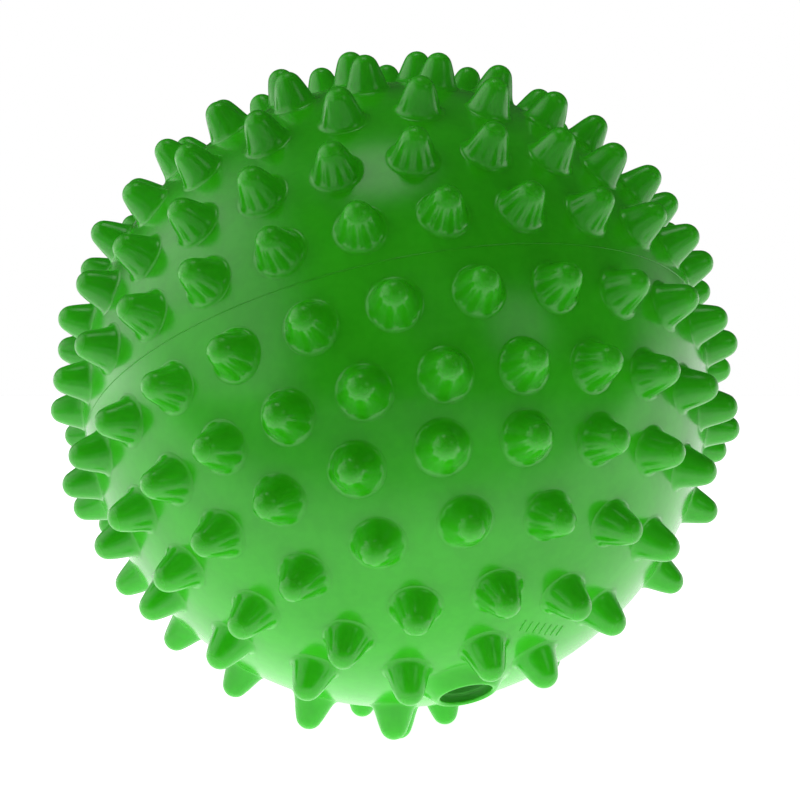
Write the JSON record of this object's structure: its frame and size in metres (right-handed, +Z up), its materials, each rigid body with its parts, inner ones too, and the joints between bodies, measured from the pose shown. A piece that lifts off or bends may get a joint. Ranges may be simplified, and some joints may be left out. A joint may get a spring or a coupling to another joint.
{
  "type": "spiky massage ball",
  "caption": "Hollow soft ball covered in rings of blunt rounded spikes, with a parting line round its middle and a plugged air valve.",
  "frame": {"origin": "on the floor, under the middle of the ball's outer box, with the ball lying on three spike tips", "axes": "+Z up; the valve points down and to the front, tilted 33 degrees from -Z towards -Y and +X; -Y is the front"},
  "size_m": [0.0896, 0.09, 0.0895],
  "materials": {
    "skin": "glossy soft PVC, moulded in one colour",
    "plug": "satin soft PVC plug, slightly darker"
  },
  "bodies": {
    "ball": {"upper_half_shell": "skin", "lower_half_shell": "skin", "parting_line_bead": "skin", "valve_collar": "skin", "mould_bars": "skin", "spikes_lower_ring_1": "skin", "spikes_lower_ring_2": "skin", "spikes_lower_ring_3": "skin", "spikes_lower_ring_4": "skin", "spikes_lower_ring_5": "skin", "spikes_lower_ring_6": "skin", "spikes_upper_ring_1": "skin", "spikes_upper_ring_2": "skin", "spikes_upper_ring_3": "skin", "spikes_upper_ring_4": "skin", "spikes_upper_ring_5": "skin", "spikes_upper_ring_6": "skin", "spikes_upper_ring_7": "skin"},
    "plug": {"valve_plug": "plug"}
  },
  "joints": [
    {"name": "plug_pull", "type": "slide", "parent": "ball", "child": "plug", "axis": [0.198, -0.5091, -0.8376], "range_m": [0, 0.0076]}
  ]
}
